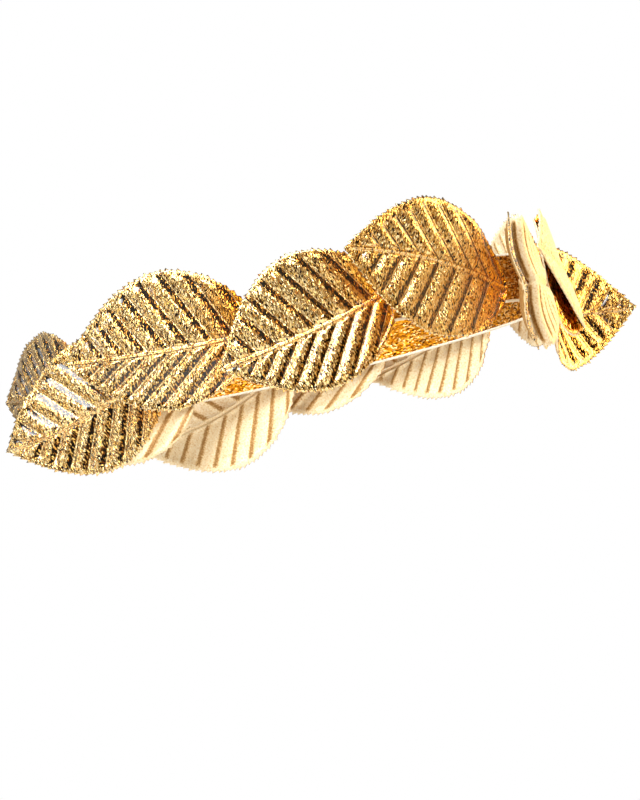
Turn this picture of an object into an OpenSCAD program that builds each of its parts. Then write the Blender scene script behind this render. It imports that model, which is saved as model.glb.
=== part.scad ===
// Leaf headband: a closed elastic band that carries embossed cloth leaves
// and, at the front centre, two leaves folded over into a bow.
// X points to the wearer's left, the front is -Y and +Z is up.
// The origin is the middle of the head opening, halfway up the band.

/* [Head opening] */
// Half the length of the band's middle line, front to back
half_depth = 97; // [85:1:110]
// Half the width of the band's middle line, side to side
half_breadth = 77; // [68:1:84]
// Radius of the round front and back of the band
end_radius = 66; // [55:1:72]

/* [Elastic band] */
// Height of the elastic
band_width = 19; // [12:0.5:25]
// Thickness of the elastic
band_thickness = 1.4; // [1:0.1:2.5]

/* [Leaf cloth] */
// Thickness of the leaf cloth
leaf_thickness = 1.2; // [1:0.1:2]
// How far the pressed ribs stand above and below the mean face
rib_height = 0.45; // [0:0.05:0.8]
// Depth of the groove along the midrib
midrib_depth = 0.4; // [0:0.05:0.8]
// How far the small teeth stand out from the edge
tooth_depth = 1; // [0:0.1:2]
// Distance from the band's outer face to the middle of the cloth at a leaf's base
base_stand_off = 1.7; // [1.4:0.1:4]

/* [Leaf outline] */
// Place of the greatest width, as a share of the length from the base
widest_at = 0.45; // [0.3:0.01:0.6]
// Fullness of the round base
base_fullness = 1.75; // [1.2:0.05:2.6]
// Fullness of the pointed end
tip_fullness = 1.9; // [1.2:0.05:2.6]
// How many degrees the side ribs swing towards the tip from base to tip
rib_sweep = 10; // [0:1:20]

/* [Bow] */
// Length of each folded leaf before folding
bow_leaf_length = 75; // [60:1:85]

/* [Hidden] */

gold = [0.80, 0.62, 0.26];
pale_gold = [0.87, 0.76, 0.55];
dark_gold = [0.45, 0.32, 0.14];

// The band's middle line is an oval of four arcs.
end_centre = half_depth - end_radius;
side_centre = (pow(end_centre, 2) - pow(half_breadth - end_radius, 2))
    / (2 * (half_breadth - end_radius));
side_radius = half_breadth + side_centre;
end_angle = atan2(side_centre, end_centre);
end_length = end_radius * end_angle * PI / 180;
side_length = side_radius * (180 - 2 * end_angle) * PI / 180;

// Columns of a leaf's row. START is the base's place along the band from the
// front centre, RISE its height, TILT the midrib's slope upwards, LIFT the
// angle at which it leaves the band, TURN its bend towards the head over the
// whole length, UPPER and LOWER the half widths, BOW the midrib's sideways
// curve and EXTRA the room left under the base for the next leaf's base. FULL
// is how far both halves bulge back between midrib and edge, RIB_UP and
// RIB_DOWN are the angles of the side ribs above and below the midrib.
START = 0;
RISE = 1;
TILT = 2;
LIFT = 3;
TURN = 4;
UPPER = 5;
LOWER = 6;
BOW = 7;
LENGTH = 8;
EXTRA = 9;
FULL = 10;
RIB_UP = 11;
RIB_DOWN = 12;
side_leaf = [
    [23.5, -0.5, -9, 37, 3, 25, 25, 0, 75, 0, 2, 55, 55],
    [33, -4.5, 18, 5.2, 25.5, 24, 28.5, 3, 74.5, 0, 0, 50, 65],
    [79, 2.5, -13, 6, 28.5, 29.5, 22.5, -2, 71, 0, 0, 66, 44],
    [130, -2.5, 4.5, 7.7, 18, 30, 22, -1.5, 78, 0, 0, 57, 38],
    [171.5, -0.5, -15.5, 9.3, -4.5, 27, 23.5, -5, 76.5, 0, 0, 58, 50],
    [214.5, -9, 10, 2.5, 4, 26.5, 26, 0.5, 70, 0, 0, 55, 55]
];
front_left_leaf = [35, -3, -5.2, -8.5, -103, 29, 24, -1.5, 80, 3.7, 0, 52, 52];

// Columns of a bow loop's row. SWING turns the loop towards the front, DROOP
// lets its outer end sink, LEAN tips its top back, SKEW slants the fold across
// the leaf and PINCH is how much further than half a turn the fold goes.
// FOLD is the fold's radius and FOLD_AT the share of the length where it
// begins. ASIDE, AHEAD and HIGHER place the loop's base from the middle of the
// band's outer face at the front. FULL_UP and FULL_DOWN are how far the cloth
// bulges back above and below the midrib, OPEN_UP and OPEN_DOWN how far the
// free end in front stands open there and HALF is the greatest half width.
SWING = 0;
DROOP = 1;
LEAN = 2;
SKEW = 3;
PINCH = 4;
FOLD = 5;
FOLD_AT = 6;
ASIDE = 7;
AHEAD = 8;
HIGHER = 9;
FULL_UP = 10;
FULL_DOWN = 11;
OPEN_UP = 12;
OPEN_DOWN = 13;
HALF = 14;
right_loop = [6.7, 2.3, 1, 1.2, 2.5, 1.75, 0.48, 9, 1.4, -3.2, 1.7, 1.9, 1.7, 4.7, 25];
left_loop = [-4.6, -4, 7.8, -14.9, -0.3, 1.8, 0.4, -3, 2.7, -7.9, -0.1, -0.8, 2.5, 0.6, 23];

ribs = 20;
fan_ribs = 2;
edge_parts = 3;
edge_count = ribs * edge_parts;
rib_line_at = 0.56;
loop_stations = 36;
loop_strips = 8;
loop_ribs = 10;

// Plan of the band after a length s from the front centre: the angle from the
// front, the arc's centre and its radius.
function plan_angle(s) =
    s <= end_length ? s / end_radius * 180 / PI :
    s <= end_length + side_length ? end_angle + (s - end_length) / side_radius * 180 / PI :
    180 - end_angle + (s - end_length - side_length) / end_radius * 180 / PI;
function plan_centre(s) =
    s <= end_length ? [0, -end_centre] :
    s <= end_length + side_length ? [side_centre, 0] : [0, end_centre];
function plan_radius(s) = s > end_length && s <= end_length + side_length ? side_radius : end_radius;
function outward(a) = [-sin(a), -cos(a)];
function onward(a) = [-cos(a), sin(a)];

// Half width of a leaf as a share of its greatest, t going from base to tip.
function base_part(t) = pow(1 - pow(1 - min(1, t / widest_at), base_fullness), 1 / base_fullness);
function tip_part(t) = 1 - pow((t - widest_at) / (1 - widest_at), tip_fullness);
function half_width(t) = t < widest_at ? base_part(max(0, t)) : tip_part(min(1, t));

// Flat points of a leaf as [along, across]. side is 1 above the midrib and -1
// below it.
function bowed(t, row) = row[BOW] * 4 * t * (1 - t);
function wide(row, side) = side > 0 ? row[UPPER] : row[LOWER];

// Side ribs leave the midrib at even distances, the first ones fan out from the
// base. A rib meets the edge where the edge's half width answers its slope.
function rib_root(i) = max(0.15 * i / ribs, (i - fan_ribs) / (ribs - fan_ribs));
function rib_reach(t, root, row, side) =
    let (angle = (side > 0 ? row[RIB_UP] : row[RIB_DOWN]) + rib_sweep * (0.5 - root))
    root + half_width(t) * wide(row, side) / row[LENGTH] / tan(angle);
function rib_meets(root, row, side, low = 0, high = 1, tries = 16) =
    let (t = (low + high) / 2)
    tries == 0 ? t :
    t < rib_reach(t, root, row, side) ? rib_meets(root, row, side, t, high, tries - 1) :
    rib_meets(root, row, side, low, t, tries - 1);
function rib_end(i, row, side) =
    i == 0 || i == ribs ? i / ribs :
    rib_meets(rib_root(i), row, side) * min(1, pow(i / fan_ribs, 1.6));
function midrib_point(i, row) =
    let (t = rib_root(i))
    [t * row[LENGTH], bowed(t, row)];
function plain_edge(t, row, side) =
    [t * row[LENGTH], side * half_width(t) * wide(row, side) + bowed(t, row)];
function edge_share(k, row, side) =
    let (i = floor(k / edge_parts), f = (k % edge_parts) / edge_parts)
    rib_end(i, row, side) * (1 - f) + (f > 0 ? rib_end(i + 1, row, side) * f : 0);
function edge_point(k, row, side) =
    let (
        p = plain_edge(edge_share(k, row, side), row, side),
        c = [widest_at * row[LENGTH], bowed(widest_at, row)],
        out = k % 2 == 1 ? tooth_depth : 0
    )
    p + (p - c) / norm(p - c) * out;
function rib_point(i, row, side) =
    midrib_point(i, row) * (1 - rib_line_at)
    + plain_edge(rib_end(i, row, side), row, side) * rib_line_at;

// An even bend of k degrees a millimetre, as the reach along the first
// direction and across it after a length h.
function reach(h, k) = abs(k) < 0.001 ? h : sin(k * h) * 180 / PI / k;
function sag(h, k) = abs(k) < 0.001 ? 0 : (1 - cos(k * h)) * 180 / PI / k;

// Place of a flat point on the finished leaf, out along its face.
function leaf_point(flat, off, row) =
    let (
        across = (flat[1] - bowed(flat[0] / row[LENGTH], row)) / wide(row, flat[1]),
        full = row[FULL] * sin(90 * min(1, 4 * flat[0] / row[LENGTH])),
        out = off - full * sin(180 * min(1, abs(across))),
        a = plan_angle(row[START]),
        k = row[TURN] / row[LENGTH],
        h = flat[0] * cos(row[TILT]) - flat[1] * sin(row[TILT]),
        z = row[RISE] + flat[0] * sin(row[TILT]) + flat[1] * cos(row[TILT]),
        g = row[LIFT] - k * h,
        x = reach(h, k) * cos(row[LIFT]) + sag(h, k) * sin(row[LIFT]),
        y = reach(h, k) * sin(row[LIFT]) - sag(h, k) * cos(row[LIFT]),
        r = plan_radius(row[START]) + band_thickness / 2 + base_stand_off + row[EXTRA],
        face = outward(a) * cos(g) - onward(a) * sin(g),
        p = plan_centre(row[START]) + (r + y) * outward(a) + x * onward(a) + out * face
    )
    [p[0], p[1], z];

// One face of a leaf: the midrib, then for each half its rib line and edge.
// The rib line goes up and down from rib to groove.
function leaf_layer(row, out) = concat(
    [
        for (i = [0 : ribs])
            leaf_point(midrib_point(i, row), out - (i == 0 || i == ribs ? 0 : midrib_depth), row)
    ],
    [
        for (side = [1, -1]) each concat(
            [
                for (i = [1 : ribs - 1])
                    leaf_point(rib_point(i, row, side), out + rib_height * (i % 2 == 1 ? 1 : -1), row)
            ],
            [for (k = [1 : edge_count - 1]) leaf_point(edge_point(k, row, side), out, row)]
        )
    ]
);
half_size = ribs - 1 + edge_count - 1;
layer_size = ribs + 1 + 2 * half_size;
function rib_at(i, s) = i == 0 || i == ribs ? i : ribs + s * half_size + i;
function edge_at(k, s) =
    k == 0 ? 0 : k == edge_count ? ribs : 2 * ribs + s * half_size + k - 1;

// Triangles from the midrib to the rib line and on to the toothed edge.
function half_faces(s) = [
    for (i = [0 : ribs - 1])
        let (
            r0 = rib_at(i, s),
            r1 = rib_at(i + 1, s),
            e = [for (k = [0 : edge_parts]) edge_at(i * edge_parts + k, s)]
        )
        for (f = [
            [i, i + 1, r1], [i, r1, r0], [r0, e[1], e[0]],
            [r0, r1, e[1]], [r1, e[2], e[1]], [r1, e[3], e[2]]
        ])
            if (f[0] != f[1] && f[1] != f[2] && f[0] != f[2]) f
];
function rim_faces(s) = [
    for (k = [0 : edge_count - 1])
        let (a = edge_at(k, s), b = edge_at(k + 1, s), n = layer_size)
        each [[a, b, b + n], [a, b + n, a + n]]
];
function turned(faces) = [for (f = faces) [f[2], f[1], f[0]]];
function lower(faces) = [for (f = faces) [for (v = f) v + layer_size]];
leaf_faces = concat(
    half_faces(0), turned(half_faces(1)),
    turned(lower(half_faces(0))), lower(half_faces(1)),
    rim_faces(0), turned(rim_faces(1))
);

module leaf(row) {
    color(gold)
        polyhedron(
            points = concat(leaf_layer(row, leaf_thickness / 2), leaf_layer(row, -leaf_thickness / 2)),
            faces = leaf_faces,
            convexity = 8
        );
}

// A bow loop is a leaf that runs outward, turns over at its middle and comes
// back in front of itself. Stations crowd together round the fold.
function fold_end_at(row) = row[FOLD_AT] + row[FOLD] * PI / bow_leaf_length;
function loop_share(i, row) = lookup(i, [
    [0, 0.012],
    [loop_stations * 5 / 12, row[FOLD_AT]],
    [loop_stations * 7 / 12, fold_end_at(row)],
    [loop_stations, 0.99]
]);

// Course of the cloth across the fold, m millimetres past the fold's start,
// as [outward, forward, direction].
function loop_course(m, row) =
    let (
        length = row[FOLD] * (180 + row[PINCH]) * PI / 180,
        a = max(0, min(m, length)) / row[FOLD] * 180 / PI,
        past = m < 0 ? m : max(0, m - length)
    )
    [row[FOLD] * sin(a) + past * cos(a), row[FOLD] * (1 - cos(a)) + past * sin(a), a];
function loop_relief(t, v) =
    abs(v) == 1 ? 0 :
    v == 0 ? -midrib_depth / 2 : rib_height * 0.6 * sin(t * loop_ribs * 360);

// How far forward the cloth stands of a plain fold, h being the share of the
// half width above or below the midrib. The base is twisted upright again.
function loop_stand(t, h, row) =
    let (
        bulge = (h > 0 ? row[FULL_UP] : row[FULL_DOWN]) * sin(180 * abs(h)),
        opening = (h > 0 ? row[OPEN_UP] : row[OPEN_DOWN]) * 2 * abs(h),
        twist = tan(row[LEAN]) * h * row[HALF],
        back = pow(t / row[FOLD_AT], 2),
        front = max(0, t - fold_end_at(row)) / (1 - fold_end_at(row))
    )
    t < row[FOLD_AT] ? twist * (1 - back) - bulge * back : opening * front - bulge * (1 - front);
function loop_point(i, j, out, row) =
    let (
        t = loop_share(i, row),
        v = 2 * j / loop_strips - 1,
        flat = t < row[FOLD_AT] - 0.01 || t > fold_end_at(row) + 0.01,
        tooth = abs(v) == 1 && i % 2 == 1 && flat,
        q = v * (half_width(t) * row[HALF] + (tooth ? tooth_depth : 0)),
        p = (t - row[FOLD_AT]) * bow_leaf_length - q * tan(row[SKEW]) * sin(180 * t),
        c = loop_course(p * cos(row[SKEW]) + q * sin(row[SKEW]), row),
        o = out + (flat ? loop_relief(t, v) : 0),
        y = c[1] - o * cos(c[2]) + loop_stand(t, v * half_width(t), row)
    )
    [c[0] + o * sin(c[2]), y, q * cos(row[SKEW]) - p * sin(row[SKEW])];
function loop_layer(row, out) =
    let (base = loop_point(0, loop_strips / 2, 0, row))
    [
        for (i = [0 : loop_stations])
            for (j = [0 : loop_strips]) loop_point(i, j, out, row) - base
    ];
function loop_at(i, j, layer) = (layer * (loop_stations + 1) + i) * (loop_strips + 1) + j;
function quad(a, b, c, d) = [[a, b, c], [a, c, d]];
loop_faces = [
    for (i = [0 : loop_stations - 1]) each concat(
        [
            for (j = [0 : loop_strips - 1]) each concat(
                quad(loop_at(i, j, 0), loop_at(i, j + 1, 0), loop_at(i + 1, j + 1, 0), loop_at(i + 1, j, 0)),
                quad(loop_at(i, j, 1), loop_at(i + 1, j, 1), loop_at(i + 1, j + 1, 1), loop_at(i, j + 1, 1))
            )
        ],
        quad(loop_at(i, 0, 0), loop_at(i + 1, 0, 0), loop_at(i + 1, 0, 1), loop_at(i, 0, 1)),
        quad(
            loop_at(i, loop_strips, 0), loop_at(i, loop_strips, 1),
            loop_at(i + 1, loop_strips, 1), loop_at(i + 1, loop_strips, 0)
        )
    ),
    for (j = [0 : loop_strips - 1]) each concat(
        quad(loop_at(0, j, 0), loop_at(0, j, 1), loop_at(0, j + 1, 1), loop_at(0, j + 1, 0)),
        quad(
            loop_at(loop_stations, j, 0), loop_at(loop_stations, j + 1, 0),
            loop_at(loop_stations, j + 1, 1), loop_at(loop_stations, j, 1)
        )
    )
];

module bow_loop(row) {
    color(pale_gold)
        translate([-row[ASIDE], -half_depth - band_thickness / 2 - row[AHEAD], row[HIGHER]])
            rotate([0, 0, 180])
                rotate([row[LEAN], row[DROOP], row[SWING]])
                    polyhedron(
                        points = concat(loop_layer(row, leaf_thickness / 2), loop_layer(row, -leaf_thickness / 2)),
                        faces = loop_faces,
                        convexity = 8
                    );
}

// The oval at a distance u outside the band's middle line.
module oval(u) {
    translate([0, -end_centre]) circle(r = end_radius + u, $fn = 240);
    translate([0, end_centre]) circle(r = end_radius + u, $fn = 240);
    intersection() {
        translate([side_centre, 0]) circle(r = side_radius + u, $fn = 360);
        translate([-side_centre, 0]) circle(r = side_radius + u, $fn = 360);
        square(
            [4 * half_breadth, 2 * (end_centre + (end_radius + u) * cos(end_angle))],
            center = true
        );
    }
}

module elastic_band() {
    color(dark_gold)
        linear_extrude(height = band_width, center = true)
            difference() {
                oval(band_thickness / 2);
                oval(-band_thickness / 2);
            }
}

module leaf_right_1() {
    leaf(side_leaf[0]);
}

module leaf_right_2() {
    leaf(side_leaf[1]);
}

module leaf_right_3() {
    leaf(side_leaf[2]);
}

module leaf_right_4() {
    leaf(side_leaf[3]);
}

module leaf_right_5() {
    leaf(side_leaf[4]);
}

module leaf_right_6() {
    leaf(side_leaf[5]);
}

module leaf_left_1() {
    mirror([1, 0, 0]) leaf(front_left_leaf);
}

module leaf_left_2() {
    mirror([1, 0, 0]) leaf(side_leaf[1]);
}

module leaf_left_3() {
    mirror([1, 0, 0]) leaf(side_leaf[2]);
}

module leaf_left_4() {
    mirror([1, 0, 0]) leaf(side_leaf[3]);
}

module leaf_left_5() {
    mirror([1, 0, 0]) leaf(side_leaf[4]);
}

module leaf_left_6() {
    mirror([1, 0, 0]) leaf(side_leaf[5]);
}

module bow_loop_right() {
    bow_loop(right_loop);
}

module bow_loop_left() {
    mirror([1, 0, 0]) bow_loop(left_loop);
}

elastic_band();
leaf_right_1();
leaf_right_2();
leaf_right_3();
leaf_right_4();
leaf_right_5();
leaf_right_6();
leaf_left_1();
leaf_left_2();
leaf_left_3();
leaf_left_4();
leaf_left_5();
leaf_left_6();
bow_loop_right();
bow_loop_left();
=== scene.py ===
import math
import random

import bmesh
import bpy
from bpy.props import FloatProperty, FloatVectorProperty, IntProperty, PointerProperty
from mathutils import Euler, Matrix, Vector


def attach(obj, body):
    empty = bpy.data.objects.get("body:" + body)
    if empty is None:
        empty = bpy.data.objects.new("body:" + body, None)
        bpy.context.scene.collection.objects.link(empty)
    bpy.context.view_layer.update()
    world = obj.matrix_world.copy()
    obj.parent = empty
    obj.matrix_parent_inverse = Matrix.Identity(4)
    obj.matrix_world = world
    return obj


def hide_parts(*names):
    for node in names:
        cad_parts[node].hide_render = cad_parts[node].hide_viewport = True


bl_info = {
    "name": "Leaf Headband",
    "version": (1, 0, 0),
    "blender": (4, 5, 0),
    "location": "View3D > Sidebar > Headband",
    "description": "Elastic headband with embossed gold cloth leaves and a folded bow",
    "category": "Add Mesh",
}

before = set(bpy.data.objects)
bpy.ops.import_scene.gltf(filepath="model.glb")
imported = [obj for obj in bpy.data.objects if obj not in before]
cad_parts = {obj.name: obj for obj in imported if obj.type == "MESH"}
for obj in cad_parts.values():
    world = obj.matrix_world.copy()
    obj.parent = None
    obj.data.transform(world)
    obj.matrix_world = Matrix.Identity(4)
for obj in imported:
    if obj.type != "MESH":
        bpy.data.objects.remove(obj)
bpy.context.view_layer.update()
MM = 0.001

# The band lies level round the origin. Its front is at -Y, its right side at -X, its top at +Z.
# The band's middle line is an oval of four arcs, in millimetres: two at the front and back, which
# are the ends, and two at the sides. Each end's arc turns through END_ANGLE on either side of the
# middle plane.
HALF_DEPTH = 97.0
HALF_BREADTH = 77.0
END_RADIUS = 66.0
END_CENTRE = HALF_DEPTH - END_RADIUS
END_INSET = HALF_BREADTH - END_RADIUS
SIDE_CENTRE = (END_CENTRE ** 2 - END_INSET ** 2) / (2 * END_INSET)
SIDE_RADIUS = HALF_BREADTH + SIDE_CENTRE
END_ANGLE = math.atan2(SIDE_CENTRE, END_CENTRE)
END_LENGTH = END_RADIUS * END_ANGLE
SIDE_LENGTH = SIDE_RADIUS * (math.pi - 2 * END_ANGLE)
BAND_LENGTH = 2 * (2 * END_LENGTH + SIDE_LENGTH)
BAND_WIDTH = 19.0
BAND_THICKNESS = 1.4
# Width of the plain cord along each of the band's edges.
SELVEDGE = 1.0
# Distance from the band's outer face to the middle of the cloth at a leaf's base.
BASE_STAND_OFF = 1.7

# A leaf's flat outline: the place of its greatest width as a share of its length, and how full its
# round base and its pointed end are.
WIDEST_AT = 0.45
BASE_FULLNESS = 1.75
TIP_FULLNESS = 1.9
# Side veins on each half, the degrees they swing towards the tip from base to tip, the share of
# the mesh rows that fans out from the base before the first of them, and how closely those start.
VEIN_COUNT = 9
VEIN_SWEEP = 5.0
FAN = 0.1
FAN_POWER = 1.6
# Teeth along each half's margin, and how sharply each one rises to its point.
TEETH = 36
TOOTH_SHARPNESS = 1.5

# Relief of the pressed cloth, in millimetres: half the midrib's width, the place and half the width
# of the crease on either side of it, and how far from the midrib the panels between the side veins
# start to rise, and over which width.
MIDRIB_HALF = 0.55
CREASE_AT = 1.3
CREASE_HALF = 0.6
PANEL_START = 0.7
PANEL_RISE = 1.6
# The crease's depth as a share of the midrib's height, and the share of the length over which both
# die out before the tip.
CREASE_DEPTH = 0.5
MIDRIB_END = 0.05
# The cut margin is thinner than the cloth, from this share of a vein's length on.
CUT_FROM = 0.97
CUT_THINNING = 0.7
# The margin's slow waves: least and greatest height in millimetres, and how many there are.
WAVE_HEIGHTS = (0.1, 0.3)
WAVE_COUNTS = (2, 5)
# Length of one such wave, in radians.
LAP = 6.3

# A leaf's numbers, in millimetres and degrees: the base's place along the band and its height, the
# midrib's slope, the angle at which the leaf leaves the band, its inward bend, the half widths, the
# midrib's sideways bow, the length, the extra room under the base, how far both halves bulge back,
# and the angles of the side veins above and below the midrib. On the left side the first leaf has
# its own numbers, and the others mirror the right side's.
COLUMNS = "start rise tilt lift turn upper lower bow length extra full veins_up veins_down".split()
RIGHT_LEAVES = [
    (23.5, -0.5, -9, 37, 3, 25, 25, 0, 75, 0, 2, 55, 55),
    (33, -4.5, 18, 5.2, 25.5, 24, 28.5, 3, 74.5, 0, 0, 50, 65),
    (79, 2.5, -13, 6, 28.5, 29.5, 22.5, -2, 71, 0, 0, 66, 44),
    (130, -2.5, 4.5, 7.7, 18, 30, 22, -1.5, 78, 0, 0, 57, 38),
    (171.5, -0.5, -15.5, 9.3, -4.5, 27, 23.5, -5, 76.5, 0, 0, 58, 50),
    (214.5, -9, 10, 2.5, 4, 26.5, 26, 0.5, 70, 0, 0, 55, 55),
]
FRONT_LEFT_LEAF = (35, -3, -5.2, -8.5, -103, 29, 24, -1.5, 80, 3.7, 0, 52, 52)
LEFT_LEAVES = [FRONT_LEFT_LEAF] + RIGHT_LEAVES[1:]

# A folded leaf's numbers: its turns to the front, down and back, the slant of the fold, how far
# past half a turn the fold goes, its radius and its share of the length, the base's place from the
# middle of the band's front, how far the cloth bulges back above and below the midrib, how far the
# front's free end stands open there, and the half width.
LOOP_COLUMNS = ("swing droop lean skew pinch fold fold_at aside ahead higher "
                "full_up full_down open_up open_down half").split()
RIGHT_LOOP = (6.7, 2.3, 1, 1.2, 2.5, 1.75, 0.48, 9, 1.4, -3.2, 1.7, 1.9, 1.7, 4.7, 25)
LEFT_LOOP = (-4.6, -4, 7.8, -14.9, -0.3, 1.8, 0.4, -3, 2.7, -7.9, -0.1, -0.8, 2.5, 0.6, 23)
LOOP_LENGTH = 75.0
# Ribs along a folded leaf, the power that rounds them, their height on the fold and what they gain
# beside it, both as shares of the side veins', and over which share of the length.
LOOP_VEINS = 14
RIB_ROUNDING = 0.7
RIB_ON_FOLD = 0.4
RIB_GAIN = 0.8
RIB_FADE = 0.03
# Depth and half the width of its midrib's groove.
LOOP_GROOVE = 0.45
LOOP_GROOVE_HALF = 0.7
# Shares of a folded leaf's length where its mesh starts and ends.
LOOP_START = 0.012
LOOP_END = 0.99


class HeadbandSizes(bpy.types.PropertyGroup):
    """Sizes of the cloth's relief and of the elastic's knit"""
    cloth_thickness: FloatProperty(
        name="Cloth thickness", description="Thickness of the foiled cloth",
        default=0.0007, min=0.0003, max=0.0012, unit="LENGTH")
    vein_height: FloatProperty(
        name="Vein height", description="Height of a pressed side vein from groove to crest",
        default=0.0013, min=0, max=0.002, unit="LENGTH")
    midrib_height: FloatProperty(
        name="Midrib height", description="Height of the pressed midrib",
        default=0.0006, min=0, max=0.002, unit="LENGTH")
    tooth_depth: FloatProperty(
        name="Tooth depth", description="How far the cut teeth stand out from the margin",
        default=0.0011, min=0, max=0.002, unit="LENGTH")
    grain_size: FloatProperty(
        name="Grain size", description="Width of one crinkle of the foil",
        default=0.0003, min=0.0002, max=0.003, unit="LENGTH")
    knit_pitch: FloatProperty(
        name="Knit pitch", description="Distance between the metallic threads of the elastic",
        default=0.0005, min=0.0003, max=0.003, unit="LENGTH")
    leaf_steps: IntProperty(
        name="Leaf steps", description="Mesh steps along each half of a leaf",
        default=192, min=64, max=256)


class HeadbandColours(bpy.types.PropertyGroup):
    """Colours of the finishes, as sRGB values"""
    foil: FloatVectorProperty(
        name="Foil", description="Gold foil", subtype="COLOR_GAMMA", size=3,
        default=(0.92, 0.735, 0.37), min=0, max=1)
    # Partly painted shade: a deeper gold that the ramp gives to random crinkles and to the painted
    # shade along one flank of each vein.
    foil_deep_and_shaded: FloatVectorProperty(
        name="Foil in the creases", description="Gold foil where the crinkles are deep",
        subtype="COLOR_GAMMA", size=3, default=(0.66, 0.38, 0.08), min=0, max=1)


def linear(hex_or_rgb):
    """A colour given as sRGB hex digits, or as three sRGB numbers, as linear RGBA."""
    if isinstance(hex_or_rgb, str):
        rgb = [int(hex_or_rgb[i:i + 2], 16) / 255 for i in (0, 2, 4)]
    else:
        rgb = list(hex_or_rgb)
    return [c / 12.92 if c <= 0.04045 else ((c + 0.055) / 1.055) ** 2.4 for c in rgb] + [1.0]


def add(tree, kind, inputs=None, stops=(), **settings):
    """Adds a node. Each input is a value or another node's output, each setting is a property, and
    a colour ramp's stops are pairs of a place and an sRGB colour."""
    node = tree.nodes.new("ShaderNode" + kind)
    for name, value in settings.items():
        setattr(node, name, value)
    for name, value in (inputs or {}).items():
        socket = node.inputs[name]
        if isinstance(value, bpy.types.NodeSocket):
            tree.links.new(value, socket)
        else:
            socket.default_value = value
    for number, (place, colour) in enumerate(stops):
        elements = node.color_ramp.elements
        element = elements[number] if number < len(elements) else elements.new(1.0)
        element.position = place
        element.color = linear(colour)
    return node


def finish(name, look):
    """The material of that name. On its first use, look adds its nodes and says what goes into its
    shader, whose plain values are set on the shader's own sockets."""
    material = bpy.data.materials.get(name)
    if material is None:
        material = bpy.data.materials.new(name)
        material.use_nodes = True
        tree = material.node_tree
        tree.nodes.clear()
        shader = add(tree, "BsdfPrincipled", look(tree))
        add(tree, "OutputMaterial", {"Surface": shader.outputs[0]})
    return material


def plan_angle(s):
    """The band's angle from the front, after a length s from there along its right side."""
    if s <= END_LENGTH:
        return s / END_RADIUS
    if s <= END_LENGTH + SIDE_LENGTH:
        return END_ANGLE + (s - END_LENGTH) / SIDE_RADIUS
    return math.pi - END_ANGLE + (s - END_LENGTH - SIDE_LENGTH) / END_RADIUS


def plan_centre(s):
    """Centre of the band's arc there."""
    if s <= END_LENGTH:
        return Vector((0, -END_CENTRE))
    if s <= END_LENGTH + SIDE_LENGTH:
        return Vector((SIDE_CENTRE, 0))
    return Vector((0, END_CENTRE))


def plan_radius(s):
    """Radius of the band's arc there."""
    return SIDE_RADIUS if END_LENGTH < s <= END_LENGTH + SIDE_LENGTH else END_RADIUS


def outward(a):
    """Plan direction out of the band where its angle from the front is a."""
    return Vector((-math.sin(a), -math.cos(a)))


def onward(a):
    """Plan direction along the band there, away from the front."""
    return Vector((-math.cos(a), math.sin(a)))


def half_width(t):
    """Half width of a leaf as a share of its greatest, t going from base to tip."""
    t = min(1.0, max(0.0, t))
    if t < WIDEST_AT:
        return (1 - (1 - t / WIDEST_AT) ** BASE_FULLNESS) ** (1 / BASE_FULLNESS)
    return 1 - ((t - WIDEST_AT) / (1 - WIDEST_AT)) ** TIP_FULLNESS


def smooth(x):
    """Eases from 0 to 1 while x goes from 0 to 1."""
    x = min(1.0, max(0.0, x))
    return x * x * (3 - 2 * x)


class Leaf:
    """One flat leaf's numbers, and the places of its points."""

    def __init__(self, row, mirrored=False):
        for name, value in zip(COLUMNS, row):
            setattr(self, name, float(value))
        self.sign = -1 if mirrored else 1
        self.tilt = math.radians(self.tilt)
        self.lift = math.radians(self.lift)
        self.bend = math.radians(self.turn) / self.length
        self.angle = plan_angle(self.start)
        self.centre = plan_centre(self.start)
        self.base = plan_radius(self.start) + BAND_THICKNESS / 2 + BASE_STAND_OFF + self.extra

    def bowed(self, t):
        """How far the midrib's curve stands aside at share t of the length."""
        return self.bow * 4 * t * (1 - t)

    def margin_share(self, root, side):
        """Where the vein that leaves the midrib at this share of the length meets the margin."""
        wide = self.upper if side > 0 else self.lower
        angle = self.veins_up if side > 0 else self.veins_down
        slope = math.radians(angle + VEIN_SWEEP * (1 - 2 * root))
        # The place is found by halving.
        low, high = 0.01, 1.0
        for _ in range(30):
            t = (low + high) / 2
            if t - root < half_width(t) * wide / self.length / math.tan(slope):
                low = t
            else:
                high = t
        return high

    def vein(self, u, side):
        """Flat ends of the vein at share u, on the midrib and on the margin. The first ones fan out
        from the base."""
        root = max(0.0, (u - FAN) / (1 - FAN))
        t = self.margin_share(root, side) * (min(1.0, u / FAN) ** FAN_POWER)
        wide = self.upper if side > 0 else self.lower
        start = Vector((root * self.length, self.bowed(root)))
        return start, Vector((t * self.length, side * half_width(t) * wide + self.bowed(t)))

    def place(self, flat, out):
        """Place of a flat point on the finished leaf, out along its face, in metres."""
        across = flat[1] - self.bowed(flat[0] / self.length)
        across = min(1.0, abs(across) / (self.upper if across > 0 else self.lower))
        # The bulge has its full depth from a quarter of the length on.
        grown = math.sin(math.pi / 2 * min(1, 4 * flat[0] / self.length))
        out -= self.full * grown * math.sin(math.pi * across)
        h = flat[0] * math.cos(self.tilt) - flat[1] * math.sin(self.tilt)
        z = self.rise + flat[0] * math.sin(self.tilt) + flat[1] * math.cos(self.tilt)
        turned = self.bend * h
        if abs(self.bend) < 1e-6:
            reach, sag = h, 0.0
        else:
            reach, sag = math.sin(turned) / self.bend, (1 - math.cos(turned)) / self.bend
        x = reach * math.cos(self.lift) + sag * math.sin(self.lift)
        y = reach * math.sin(self.lift) - sag * math.cos(self.lift)
        g = self.lift - turned
        face = outward(self.angle) * math.cos(g) - onward(self.angle) * math.sin(g)
        p = self.centre + (self.base + y) * outward(self.angle) + x * onward(self.angle)
        p += out * face
        return Vector((self.sign * p[0], p[1], z)) * MM


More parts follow.
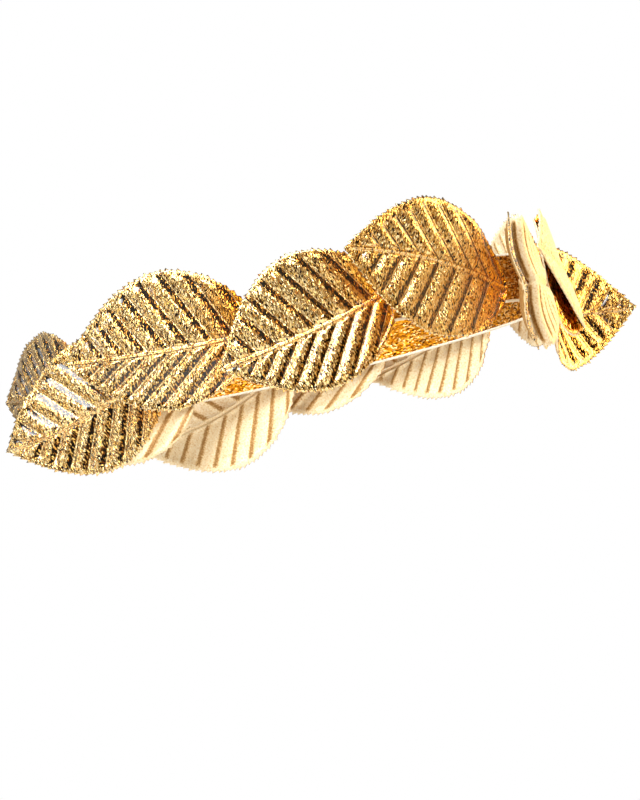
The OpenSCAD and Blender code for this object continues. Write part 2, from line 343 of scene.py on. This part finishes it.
def vein_phase(u):
    """A number that grows by one from each side vein to the next, and is below 0 in the fan."""
    return (u - FAN) / (1 - FAN) * VEIN_COUNT


def panel_share(from_midrib, from_margin, hem, hem_rise):
    """Share of the panels' height that is left beside the midrib and along the margin's flat hem,
    all in millimetres."""
    return smooth((from_midrib - PANEL_START) / PANEL_RISE) * smooth((from_margin - hem) / hem_rise)


def vein_relief(u, from_midrib, from_margin, sizes):
    """Height of the pressed pattern, in millimetres: the cloth is puffed between sharp side veins,
    flat along the margin, and stands up in a narrow midrib that ends at the tip."""
    puff = math.sin(math.pi * (max(0.0, vein_phase(u)) % 1.0))
    inside = panel_share(from_midrib, from_margin, hem=1.8, hem_rise=2.2)
    ridge = math.exp(-(from_midrib / MIDRIB_HALF) ** 2)
    crease = CREASE_DEPTH * math.exp(-((from_midrib - CREASE_AT) / CREASE_HALF) ** 2)
    midrib = (ridge - crease) * smooth((1 - u) / MIDRIB_END)
    return (sizes.vein_height * (puff - 0.5) * inside + sizes.midrib_height * midrib) / MM


def tooth_heights(dice, least, spread):
    """Random heights of the teeth along both halves' margins, as shares of the tooth depth."""
    return [[least + spread * dice.random() for _ in range(TEETH + 1)] for _ in (0, 1)]


def tooth_at(t, side, teeth, sizes):
    """How far the teeth stand out at share t of the length, in millimetres."""
    k = t * TEETH
    return sizes.tooth_depth / MM * teeth[side > 0][int(k)] * (k % 1.0) ** TOOTH_SHARPNESS


def mesh_object(name, vertices, faces, materials, maps, indices=None):
    """A mesh object at the origin, with smooth faces and its maps: Cloth in millimetres and, on a
    leaf, Veins, whose first number grows by one from each side vein to the next."""
    mesh = bpy.data.meshes.new(name)
    mesh.from_pydata([tuple(v) for v in vertices], [], faces)
    for material in materials:
        mesh.materials.append(material)
    if indices is not None:
        mesh.polygons.foreach_set("material_index", indices)
    mesh.polygons.foreach_set("use_smooth", [True] * len(mesh.polygons))
    for title, places in maps.items():
        layer = mesh.uv_layers.new(name=title)
        layer.data.foreach_set("uv", [c for loop in mesh.loops for c in places[loop.vertex_index]])
    obj = bpy.data.objects.new(name, mesh)
    bpy.context.scene.collection.objects.link(obj)
    return obj


def close_up(obj):
    """Joins points less than 0.02 mm apart, as at a leaf's two ends, and turns all faces
    outwards."""
    bm = bmesh.new()
    bm.from_mesh(obj.data)
    bmesh.ops.remove_doubles(bm, verts=bm.verts, dist=2e-5)
    bmesh.ops.recalc_face_normals(bm, faces=bm.faces)
    bm.to_mesh(obj.data)
    bm.free()


def layer_faces(rows, strips, ends=False):
    """Faces of two layers of cloth joined along both margins, and at both ends too if asked, with
    their materials: 0 on the first layer and the edges, 1 on the second."""
    row = 2 * strips + 1
    size = row * rows
    faces, indices = [], []
    for i in range(rows - 1):
        for j in range(2 * strips):
            a = i * row + j
            faces.append((a, a + 1, a + row + 1, a + row))
            indices.append(0)
            faces.append((size + a, size + a + row, size + a + row + 1, size + a + 1))
            indices.append(1)
        for j in (0, 2 * strips):
            a = i * row + j
            faces.append((a, a + row, size + a + row, size + a))
            indices.append(0)
    for i in (0, rows - 1) if ends else ():
        for j in range(2 * strips):
            a = i * row + j
            faces.append((a, a + 1, size + a + 1, size + a))
            indices.append(0)
    return faces, indices


# Shares of a vein's length at which the mesh has its rows, closer at the midrib and the margin.
ACROSS = [0, .012, .025, .04, .06, .09, .13, .18, .24, .31, .38, .45,
          .52, .59, .66, .72, .78, .83, .87, .905, .935, .96, .98, 1]


def leaf_mesh(name, leaf, seed, sizes, materials):
    """Two layers of embossed cloth joined round a toothed margin."""
    steps, strips = sizes.leaf_steps, len(ACROSS) - 1
    dice = random.Random(seed)
    teeth = tooth_heights(dice, least=0.6, spread=0.8)
    waves = [(dice.uniform(*WAVE_HEIGHTS), dice.uniform(*WAVE_COUNTS), dice.uniform(0, LAP))
             for _ in range(3)]
    middle = Vector((WIDEST_AT * leaf.length, leaf.bowed(WIDEST_AT)))
    vertices, cloth, pattern = [], [], []
    for layer in (0.5, -0.5):
        for i in range(steps + 1):
            u = i / steps
            veins = {side: leaf.vein(u, side) for side in (1, -1)}
            for j in range(-strips, strips + 1):
                side = 1 if j >= 0 else -1
                across = ACROSS[abs(j)]
                start, end = veins[side]
                long = (end - start).length
                if abs(j) == strips and 0 < i < steps:
                    tooth = tooth_at(end[0] / leaf.length, side, teeth, sizes)
                    end = end + (end - middle).normalized() * tooth
                flat = start.lerp(end, across)
                wave = sum(height * math.sin(count * flat[0] / leaf.length * LAP + phase)
                           for height, count, phase in waves)
                thinning = 1 if across < CUT_FROM else CUT_THINNING
                out = layer * sizes.cloth_thickness / MM * thinning
                relief = vein_relief(u, across * long, (1 - across) * long, sizes)
                out += relief + wave * across ** 2
                vertices.append(leaf.place(flat, out))
                cloth.append((flat[0], flat[1]))
                pattern.append((vein_phase(u), min(across, 1 - across) * long))
    faces, indices = layer_faces(steps + 1, strips)
    obj = mesh_object(name, vertices, faces, materials, {"Cloth": cloth, "Veins": pattern}, indices)
    close_up(obj)
    return obj


class Loop:
    """One folded leaf's numbers, and the places of its points."""

    def __init__(self, row, mirrored=False):
        for name, value in zip(LOOP_COLUMNS, row):
            setattr(self, name, float(value))
        self.sign = -1 if mirrored else 1
        self.skew = math.radians(self.skew)
        self.fold_end = self.fold_at + self.fold * math.pi / LOOP_LENGTH
        turns = [math.radians(a) for a in (self.lean, self.droop, self.swing)]
        self.turn = Euler(turns).to_matrix()
        self.base = self.local(LOOP_START, 0, 0)

    def course(self, m):
        """Place and turn of the fold's middle line after a length m from where the fold begins."""
        length = self.fold * math.radians(180 + self.pinch)
        a = min(max(m, 0), length) / self.fold
        past = m if m < 0 else max(0, m - length)
        return (self.fold * math.sin(a) + past * math.cos(a),
                self.fold * (1 - math.cos(a)) + past * math.sin(a), a)

    def local(self, t, v, out, tooth=0.0):
        """Place on the folded leaf before it is turned and set on the band."""
        q = v * (half_width(t) * self.half + tooth)
        p = (t - self.fold_at) * LOOP_LENGTH - q * math.tan(self.skew) * math.sin(math.pi * t)
        c = self.course(p * math.cos(self.skew) + q * math.sin(self.skew))
        forward = c[1] + self.stand(t, v * half_width(t)) - out * math.cos(c[2])
        return Vector((c[0] + out * math.sin(c[2]), forward,
                       q * math.cos(self.skew) - p * math.sin(self.skew)))

    def stand(self, t, h):
        """How far forward the cloth stands of a plain fold, h being the share of the half width:
        both halves bulge back, the base is twisted upright and the front opens towards its free
        end."""
        bulge = (self.full_up if h > 0 else self.full_down) * math.sin(math.pi * abs(h))
        opening = (self.open_up if h > 0 else self.open_down) * 2 * abs(h)
        if t < self.fold_at:
            back = (t / self.fold_at) ** 2
            return math.tan(math.radians(self.lean)) * h * self.half * (1 - back) - bulge * back
        front = max(0.0, t - self.fold_end) / (1 - self.fold_end)
        return opening * front - bulge * (1 - front)

    def place(self, t, v, out, tooth=0.0):
        """Place of the point at share t of the length and v of the half width, in metres."""
        p = self.turn @ (self.local(t, v, out, tooth) - self.base)
        p = Vector((-p[0], -p[1], p[2]))
        p += Vector((-self.aside, -HALF_DEPTH - BAND_THICKNESS / 2 - self.ahead, self.higher))
        return Vector((self.sign * p[0], p[1], p[2])) * MM


def loop_rows(loop, steps, fold_steps):
    """Shares of a folded leaf's length at which its mesh has its rows: even ones, and closer ones
    round the fold in their place."""
    even = [LOOP_START + (LOOP_END - LOOP_START) * i / steps for i in range(steps + 1)]
    span = loop.fold_end - loop.fold_at
    fold = [loop.fold_at + span * i / fold_steps for i in range(-2, fold_steps + 3)]
    apart = 0.002
    return sorted([t for t in even if not fold[0] - apart < t < fold[-1] + apart] + fold)


def loop_mesh(name, loop, seed, sizes, materials):
    """A leaf folded over with its foil inside and its woven reverse outside. Its ribs are flatter
    round the fold."""
    rows = loop_rows(loop, steps=180, fold_steps=16)
    strips = 24
    teeth = tooth_heights(random.Random(seed), least=0.5, spread=0.9)
    vertices, cloth, pattern = [], [], []
    for layer in (0.5, -0.5):
        for t in rows:
            beside = smooth(max(loop.fold_at - t, t - loop.fold_end) / RIB_FADE)
            puff = abs(math.sin(math.pi * t * LOOP_VEINS)) ** RIB_ROUNDING
            wide = half_width(t) * loop.half
            for j in range(-strips, strips + 1):
                v = j / strips
                tooth = tooth_at(t, v, teeth, sizes) if abs(j) == strips else 0.0
                inside = panel_share(abs(v) * wide, (1 - abs(v)) * wide, hem=1.5, hem_rise=2.0)
                relief = sizes.vein_height / MM * (puff - 0.5) * inside
                relief *= RIB_ON_FOLD + RIB_GAIN * beside
                relief -= LOOP_GROOVE * math.exp(-(abs(v) * wide / LOOP_GROOVE_HALF) ** 2)
                out = layer * sizes.cloth_thickness / MM + relief
                vertices.append(loop.place(t, v, out, tooth))
                cloth.append(((t - loop.fold_at) * LOOP_LENGTH, v * wide))
                pattern.append((t * LOOP_VEINS, min(abs(v), 1 - abs(v)) * wide))
    faces, indices = layer_faces(len(rows), strips, ends=True)
    obj = mesh_object(name, vertices, faces, materials, {"Cloth": cloth, "Veins": pattern}, indices)
    close_up(obj)
    return obj


def outline_area(points):
    """Area inside a closed flat outline, in square metres."""
    pairs = zip(points, points[1:] + points[:1])
    return abs(sum(a[0] * b[1] - a[1] * b[0] for a, b in pairs)) / 2 * MM ** 2


def leaf_area(length, upper, lower):
    """Area of a flat leaf without its teeth, in square metres."""
    shares = [i / 60 for i in range(61)]
    up = [(t * length, half_width(t) * upper) for t in shares]
    down = [(t * length, -half_width(t) * lower) for t in reversed(shares)]
    return outline_area(up + down)


def vein_bands(tree, stops):
    """A factor that repeats from each side vein to the next. It fades out between 2.4 and 0.8 mm
    from the midrib and from the margin."""
    veins = add(tree, "SeparateXYZ", {"Vector": add(tree, "UVMap", uv_map="Veins").outputs["UV"]})
    place = add(tree, "Math", {0: veins.outputs["X"]}, operation="FRACT")
    band = add(tree, "ValToRGB", {"Fac": place.outputs[0]}, stops=stops)
    inside = add(tree, "MapRange", {"Value": veins.outputs["Y"], "From Min": 0.8, "From Max": 2.4})
    return add(tree, "Math", {0: band.outputs["Color"], 1: inside.outputs["Result"]},
               operation="MULTIPLY").outputs[0]


def crinkled(tree, bump, cells, depth):
    """A normal that tilts a little differently in each cell, so that neighbours catch the light in
    turn. Depth is a number or another node's output."""
    facet = add(tree, "VectorMath", {0: cells.outputs["Color"], 1: (0.5, 0.5, 0.5)},
                operation="SUBTRACT")
    tilt = add(tree, "VectorMath", {0: facet.outputs[0], "Scale": depth}, operation="SCALE")
    lean = add(tree, "VectorMath", {0: bump.outputs["Normal"], 1: tilt.outputs[0]}, operation="ADD")
    return add(tree, "VectorMath", {0: lean.outputs[0]}, operation="NORMALIZE").outputs[0]


def foil_look(tree):
    """Gold lame: metal foil laid on cloth and pressed hot under a clear yellow coat. Its crinkles
    are nearly three times as long as wide. They glint white and turn black side by side, partly by
    their tilt and partly by glints and dark reflections painted into the colour, and painted shade
    darkens them thickly along one flank of each pressed vein. The vein itself is a smooth line with
    a pale painted highlight. Towards the leaf's base the gold turns orange: a painted warm
    reflection of gold on gold where the neighbouring leaf covers the base."""
    sizes = bpy.context.scene.headband_sizes
    colours = bpy.context.scene.headband_colours
    # The painted warm reflection at the base is full up to the first distance from the base and
    # gone from the second on, in millimetres, and its end is ragged by up to the third.
    warm_full_to, warm_gone_from, ragged_by = 11.0, 31.0, 9.0
    cloth = add(tree, "UVMap", uv_map="Cloth").outputs["UV"]
    grain = MM / sizes.grain_size
    long = add(tree, "Mapping", {"Vector": cloth, "Scale": (grain, grain * 0.35, 1)})
    soft = add(tree, "TexNoise", {"Vector": long.outputs[0], "Scale": 1.0, "Detail": 3.0,
                                  "Roughness": 0.6})
    warp = add(tree, "VectorMath", {0: soft.outputs["Color"], "Scale": 0.5}, operation="SCALE")
    bent = add(tree, "VectorMath", {0: long.outputs[0], 1: warp.outputs[0]}, operation="ADD")
    cells = add(tree, "TexVoronoi", {"Vector": bent.outputs[0], "Scale": 1.0}, feature="F1")
    tone = add(tree, "SeparateColor", {"Color": cells.outputs["Color"]}).outputs
    # Painted shade: a band along one flank of each vein, where the colour is pushed towards black.
    # The same band also tilts the crinkles further.
    flank_shade_and_crinkles = vein_bands(tree, [(0.03, "000000"), (0.07, "FFFFFF"), (0.24, "FFFFFF"),
                                (0.36, "000000")])
    # Painted highlight: a pale line along each vein, where the crease catches the light. The same
    # line also makes the vein rougher.
    line = vein_bands(tree, [(0.01, "BBBBBB"), (0.035, "000000"), (0.98, "000000"),
                             (1.0, "BBBBBB")])
    # The painted shade lowers each crinkle's tone in that band, towards black.
    level = add(tree, "Math", {0: flank_shade_and_crinkles, 1: -0.55, 2: tone[0]}, operation="MULTIPLY_ADD",
                use_clamp=True)
    # Each crinkle gets its own tone at random. The ramp's near-black and pale ends are painted dark
    # reflections and painted glints, and its deep gold stands in partly for shade.
    gold = add(tree, "ValToRGB", {"Fac": level.outputs[0]}, stops=[
        (0.0, "0A0602"), (0.13, "241505"), (0.22, colours.foil_deep_and_shaded), (0.36, colours.foil),
        (1.0, "FFE8B4")])
    along = add(tree, "SeparateXYZ", {"Vector": cloth})
    ragged = add(tree, "Math", {0: soft.outputs["Fac"], 1: ragged_by, 2: along.outputs["X"]},
                 operation="MULTIPLY_ADD")
    warm_share = add(tree, "MapRange", {"Value": ragged.outputs[0], "From Min": warm_gone_from,
                                   "From Max": warm_full_to})
    # Painted warm reflection: towards the base the gold is multiplied by orange, standing in for
    # gold-on-gold light from the neighbouring leaf.
    gold_with_painted_reflection = add(tree, "MixRGB", {"Fac": warm_share.outputs["Result"], "Color1": gold.outputs["Color"],
                                   "Color2": linear("FFCA40")}, blend_type="MULTIPLY")
    # The painted highlight along each vein mixes the colour towards pale cream.
    lined = add(tree, "MixRGB", {"Fac": line, "Color1": gold_with_painted_reflection.outputs[0],
                                 "Color2": linear("FFE8BC")})
    rough = add(tree, "MapRange", {"Value": tone[1], "To Min": 0.10, "To Max": 0.28})
    satin = add(tree, "Math", {0: line, 1: 0.25, 2: rough.outputs["Result"]},
                operation="MULTIPLY_ADD")
    bump = add(tree, "Bump", {"Height": soft.outputs["Fac"], "Distance": 0.00012, "Strength": 1.0})
    depth = add(tree, "MapRange", {"Value": flank_shade_and_crinkles, "To Min": 0.50, "To Max": 0.66})
    return {"Base Color": lined.outputs[0], "Metallic": 1.0, "Roughness": satin.outputs[0],
            "Normal": crinkled(tree, bump, cells, depth.outputs["Result"]),
            "Coat Weight": 1.0, "Coat Roughness": 0.12}


def reverse_look(tree):
    """The cloth's reverse: a pale woven ground, dull, with a faint metallic thread, and thin brown
    lines of painted shade in the grooves of the pressed veins."""
    # Spacing of the threads, in metres. The real one is finer, but wouldn't show.
    thread = 1 / 1500
    place = add(tree, "TexCoord").outputs["Object"]
    fine = add(tree, "TexNoise", {"Vector": place, "Scale": 1 / thread, "Detail": 2.0})
    # Painted shade: a thin brown line in each vein's groove, which darkens the woven tone.
    line = vein_bands(tree, [(0.10, "FFFFFF"), (0.22, "000000"), (0.82, "000000"),
                             (1.0, "FFFFFF")])
    level = add(tree, "Math", {0: line, 1: -0.5, 2: fine.outputs["Fac"]},
                operation="MULTIPLY_ADD", use_clamp=True)
    woven = add(tree, "ValToRGB", {"Fac": level.outputs[0]}, stops=[
        (0.0, "9C7034"), (0.25, "D2AE74"), (0.42, "F0DAAC"), (0.7, "FBF0D6")])
    bump = add(tree, "Bump", {"Height": level.outputs[0], "Distance": 0.0003, "Strength": 0.6})
    return {"Base Color": woven.outputs["Color"], "Metallic": 0.15, "Roughness": 0.55,
            "Normal": bump.outputs["Normal"]}


def elastic_look(tree):
    """Knitted elastic with metallic thread: slanting stitches glitter gold over a brown ground,
    and the selvedge is a plain cream cord."""
    sizes = bpy.context.scene.headband_sizes
    cloth = add(tree, "UVMap", uv_map="Cloth").outputs["UV"]
    pitch = MM / sizes.knit_pitch
    turned = add(tree, "Mapping", {"Vector": cloth, "Rotation": (0, 0, math.radians(35)),
                                   "Scale": (pitch * 0.5, pitch, 1)}, vector_type="POINT")
    stitches = add(tree, "TexVoronoi", {"Vector": turned.outputs[0], "Scale": 1.0,
                                        "Randomness": 0.6}, feature="F1")
    tone = add(tree, "SeparateColor", {"Color": stitches.outputs["Color"]}).outputs
    gold = add(tree, "ValToRGB", {"Fac": tone[0]}, stops=[
        (0.0, "351A04"), (0.3, "9C5A0C"), (0.7, "E89A20"), (1.0, "FFE2A0")])
    split = add(tree, "SeparateXYZ", {"Vector": cloth})
    edge = add(tree, "Math", {0: split.outputs["Y"]}, operation="ABSOLUTE")
    seam = BAND_WIDTH / 2 - SELVEDGE
    cream = add(tree, "MapRange", {"Value": edge.outputs[0], "From Min": seam - 0.1,
                                   "From Max": seam + 0.1})
    colour = add(tree, "MixRGB", {"Fac": cream.outputs["Result"], "Color1": gold.outputs["Color"],
                                  "Color2": linear("EFE6D2")})
    metal = add(tree, "Math", {0: 1.0, 1: cream.outputs["Result"]}, operation="SUBTRACT")
    height = add(tree, "Math", {0: 1.0, 1: stitches.outputs["Distance"]}, operation="SUBTRACT")
    bump = add(tree, "Bump", {"Height": height.outputs[0], "Distance": 0.0004, "Strength": 0.9})
    return {"Base Color": colour.outputs[0], "Metallic": metal.outputs[0], "Roughness": 0.34,
            "Normal": crinkled(tree, bump, stitches, 0.5)}


def paper_look(tree):
    """Matt white paper. Its fibres wouldn't show, so it has faint clouds alone."""
    # Width of a cloud, in metres.
    cloud = 1 / 60
    place = add(tree, "TexCoord").outputs["Object"]
    clouds = add(tree, "TexNoise", {"Vector": place, "Scale": 1 / cloud, "Detail": 3.0})
    white = add(tree, "ValToRGB", {"Fac": clouds.outputs["Fac"]},
                stops=[(0.0, "F4F4F3"), (1.0, "FBFBFA")])
    return {"Base Color": white.outputs["Color"], "Roughness": 0.9}


def foil():
    """The finish of a leaf's face."""
    return finish("gold_lame_embossed_foil", foil_look)


def reverse():
    """The finish of a leaf's back."""
    return finish("pale_gold_woven_reverse", reverse_look)


class HEADBAND_OT_elastic(bpy.types.Operator):
    """Makes the loop of knitted elastic"""
    bl_idname = "headband.elastic"
    bl_label = "Elastic band"

    def execute(self, context):
        # The section is flat, a little smaller than the solid, with a raised cord along each edge
        # that is rounded off. In millimetres:
        thinner, narrower, cord_height, rounding = 0.2, 0.1, 0.12, 0.25
        rows = 12
        section = []
        for i in range(-rows, rows + 1):
            z = i / rows * (BAND_WIDTH / 2 - narrower)
            cord = cord_height if abs(i) >= rows - 1 else 0.0
            fall = rounding * (abs(i) / rows) ** 8
            section.append((BAND_THICKNESS / 2 - thinner + cord - fall, z))
        section += [(-d, z) for d, z in reversed(section)]
        count = 360
        vertices, uvs = [], []
        for i in range(count):
            along = BAND_LENGTH * i / count
            mirrored = along > BAND_LENGTH / 2
            s = BAND_LENGTH - along if mirrored else along
            a = plan_angle(s)
            for d, z in section:
                p = plan_centre(s) + (plan_radius(s) + d) * outward(a)
                vertices.append(Vector((-p[0] if mirrored else p[0], p[1], z)) * MM)
                uvs.append((along, z))
        size = len(section)
        faces = []
        for i in range(count):
            for j in range(size):
                a, b = i * size, (i + 1) % count * size
                k = (j + 1) % size
                faces.append((a + j, a + k, b + k, b + j))
        knit = finish("knitted_metallic_elastic", elastic_look)
        obj = mesh_object("elastic_loop", vertices, faces, [knit], {"Cloth": uvs})
        close_up(obj)
        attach(obj, "root")
        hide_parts("elastic_band")
        return {"FINISHED"}


class HEADBAND_OT_leaves(bpy.types.Operator):
    """Makes the twelve flat leaves, each over the next leaf's base"""
    bl_idname = "headband.leaves"
    bl_label = "Leaves"

    def execute(self, context):
        sizes = context.scene.headband_sizes
        rows = [("right", number, row) for number, row in enumerate(RIGHT_LEAVES, 1)]
        rows += [("left", number, row) for number, row in enumerate(LEFT_LEAVES, 1)]
        for hand, number, row in rows:
            leaf = Leaf(row, hand == "left")
            seed = number * 7 + (hand == "left")
            obj = leaf_mesh(f"foil_leaf_{hand}_{number}", leaf, seed, sizes, [foil(), reverse()])
            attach(obj, "root")
            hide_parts(f"leaf_{hand}_{number}")
            leaf_area(leaf.length, leaf.upper, leaf.lower)
        return {"FINISHED"}


class HEADBAND_OT_bow(bpy.types.Operator):
    """Makes the two folded leaves of the bow"""
    bl_idname = "headband.bow"
    bl_label = "Folded leaves of the bow"

    def execute(self, context):
        sizes = context.scene.headband_sizes
        for hand, row, seed in (("right", RIGHT_LOOP, 101), ("left", LEFT_LOOP, 102)):
            loop = Loop(row, hand == "left")
            obj = loop_mesh(f"folded_leaf_{hand}", loop, seed, sizes, [reverse(), foil()])
            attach(obj, "root")
            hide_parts(f"bow_loop_{hand}")
            leaf_area(LOOP_LENGTH, loop.half, loop.half)
        return {"FINISHED"}


# Soft box lights: name, place in metres, width and height in metres, watts and colour. The window
# and the two at the back brighten the panels of the side leaves, and the two warm ones in front the
# leaf beside the bow.
LIGHTS = [
    ("window", (-1.23, 0.28, 1.0), (0.7, 0.6), 21, "FFFFFF"),
    ("upper_back", (-1.0, 1.3, 0.9), (0.5, 0.35), 3, "FFFFFF"),
    ("low_back", (-0.6, 1.5, -0.12), (0.5, 0.16), 3, "FFFFFF"),
    ("front", (0.8, -1.35, 0.30), (0.8, 0.9), 17, "FFE0A0"),
    ("low_front", (1.2, -0.9, -0.12), (0.9, 0.35), 9, "FFD27A"),
    ("top", (-0.9, -0.5, 1.4), (0.6, 0.6), 22, "FFFFFF"),
]


def area_light(name, place, size, power, colour):
    """A soft box light that looks at the middle of the headband."""
    data = bpy.data.lights.new(name, "AREA")
    data.shape = "RECTANGLE"
    data.size, data.size_y = size
    data.energy = power
    data.color = linear(colour)[:3]
    obj = bpy.data.objects.new(name, data)
    obj.location = place
    obj.rotation_euler = (-Vector(place)).to_track_quat("-Z", "Y").to_euler()
    bpy.context.scene.collection.objects.link(obj)


class HEADBAND_OT_stage(bpy.types.Operator):
    """Sets the floor, the soft lights and the camera"""
    bl_idname = "headband.stage"
    bl_label = "Stage, lights and camera"

    def execute(self, context):
        self.floor()
        self.lights()
        self.camera(context)
        return {"FINISHED"}

    def floor(self):
        """A round sheet of white paper."""
        bm = bmesh.new()
        bmesh.ops.create_circle(bm, cap_ends=True, segments=96, radius=0.6)
        mesh = bpy.data.meshes.new("floor")
        bm.to_mesh(mesh)
        bm.free()
        mesh.materials.append(finish("matt_white_paper", paper_look))
        obj = bpy.data.objects.new("floor", mesh)
        obj.location = (0, 0, -0.30)
        bpy.context.scene.collection.objects.link(obj)

    def lights(self):
        """A pale room, darker below and a little warmer in front, and the soft box lights. The
        picture's ground is plain white."""
        world = bpy.data.worlds.new("studio")
        world.use_nodes = True
        tree = world.node_tree
        tree.nodes.clear()
        way = add(tree, "TexCoord").outputs["Generated"]
        side = add(tree, "VectorMath", {0: way, 1: (-0.05, -0.999, 0.0)}, operation="DOT_PRODUCT")
        near = add(tree, "MapRange", {"Value": side.outputs["Value"], "From Min": -1.0,
                                      "From Max": 1.0})
        rise = add(tree, "SeparateXYZ", {"Vector": way})
        level = add(tree, "MapRange", {"Value": rise.outputs["Z"], "From Min": -1.0,
                                       "From Max": 1.0})
        walls = add(tree, "ValToRGB", {"Fac": near.outputs["Result"]}, stops=[
            (0.70, "FFFFFF"), (0.82, "FFE8C4"), (1.0, "FFD496")])
        heights = add(tree, "ValToRGB", {"Fac": level.outputs["Result"]}, stops=[
            (0.0, "3A332B"), (0.38, "7C7264"), (0.50, "AEA69A"), (0.62, "CAC6BE"), (1.0, "D4D4D4")])
        colour = add(tree, "MixRGB", {"Fac": 1.0, "Color1": walls.outputs["Color"],
                                      "Color2": heights.outputs["Color"]}, blend_type="MULTIPLY")
        room = add(tree, "Background", {"Strength": 1.0, "Color": colour.outputs[0]})
        plain = add(tree, "Background", {"Strength": 1.0, "Color": linear("FFFFFF")})
        seen = add(tree, "LightPath").outputs["Is Camera Ray"]
        both = add(tree, "MixShader", {0: seen, 1: room.outputs[0], 2: plain.outputs[0]})
        add(tree, "OutputWorld", {"Surface": both.outputs[0]})
        bpy.context.scene.world = world
        for light in LIGHTS:
            area_light(*light)

    def camera(self, context):
        """A long lens that looks at the right side, from a little below the band and tilted."""
        azimuth, elevation, roll = math.radians(72), math.radians(-6), math.radians(-12.5)
        distance = 1.3
        # The focal length, the picture's sides and the place of the band's middle in it, in pixels.
        focal, wide, high = 3282.5, 640, 800
        aim_x, aim_y = 309.0, 337.0
        back = Vector((-math.sin(azimuth) * math.cos(elevation),
                       -math.cos(azimuth) * math.cos(elevation), math.sin(elevation)))
        level = Vector((0, 0, 1)).cross(back).normalized()
        rise = back.cross(level)
        right = level * math.cos(roll) + rise * math.sin(roll)
        up = -level * math.sin(roll) + rise * math.cos(roll)
        turn = Matrix((right, up, back)).transposed()
        turn = (turn @ Matrix.Rotation(math.atan((aim_x - wide / 2) / focal), 3, "Y")
                @ Matrix.Rotation(math.atan((aim_y - high / 2) / focal), 3, "X"))
        data = bpy.data.cameras.new("camera")
        data.lens = focal / high * data.sensor_width
        obj = bpy.data.objects.new("camera", data)
        obj.location = back * distance
        obj.rotation_mode = "QUATERNION"
        obj.rotation_quaternion = turn.to_quaternion()
        context.scene.collection.objects.link(obj)
        context.scene.camera = obj
        context.scene.view_settings.view_transform = "Standard"


class HEADBAND_PT_panel(bpy.types.Panel):
    """Lists the makers of the headband's pieces"""
    bl_idname = "HEADBAND_PT_panel"
    bl_label = "Leaf headband"
    bl_space_type = "VIEW_3D"
    bl_region_type = "UI"
    bl_category = "Headband"

    def draw(self, context):
        for operator in OPERATORS:
            self.layout.operator(operator.bl_idname)
        for group in (context.scene.headband_sizes, context.scene.headband_colours):
            for name in group.__annotations__:
                self.layout.prop(group, name)


OPERATORS = (HEADBAND_OT_elastic, HEADBAND_OT_leaves, HEADBAND_OT_bow, HEADBAND_OT_stage)
CLASSES = (HeadbandSizes, HeadbandColours, *OPERATORS, HEADBAND_PT_panel)


def register():
    for cls in CLASSES:
        bpy.utils.register_class(cls)
    bpy.types.Scene.headband_sizes = PointerProperty(type=HeadbandSizes)
    bpy.types.Scene.headband_colours = PointerProperty(type=HeadbandColours)


def unregister():
    del bpy.types.Scene.headband_colours
    del bpy.types.Scene.headband_sizes
    for cls in reversed(CLASSES):
        bpy.utils.unregister_class(cls)


def main():
    register()
    bpy.ops.headband.stage()
    bpy.ops.headband.elastic()
    bpy.ops.headband.leaves()
    bpy.ops.headband.bow()


if __name__ == "__main__":
    main()
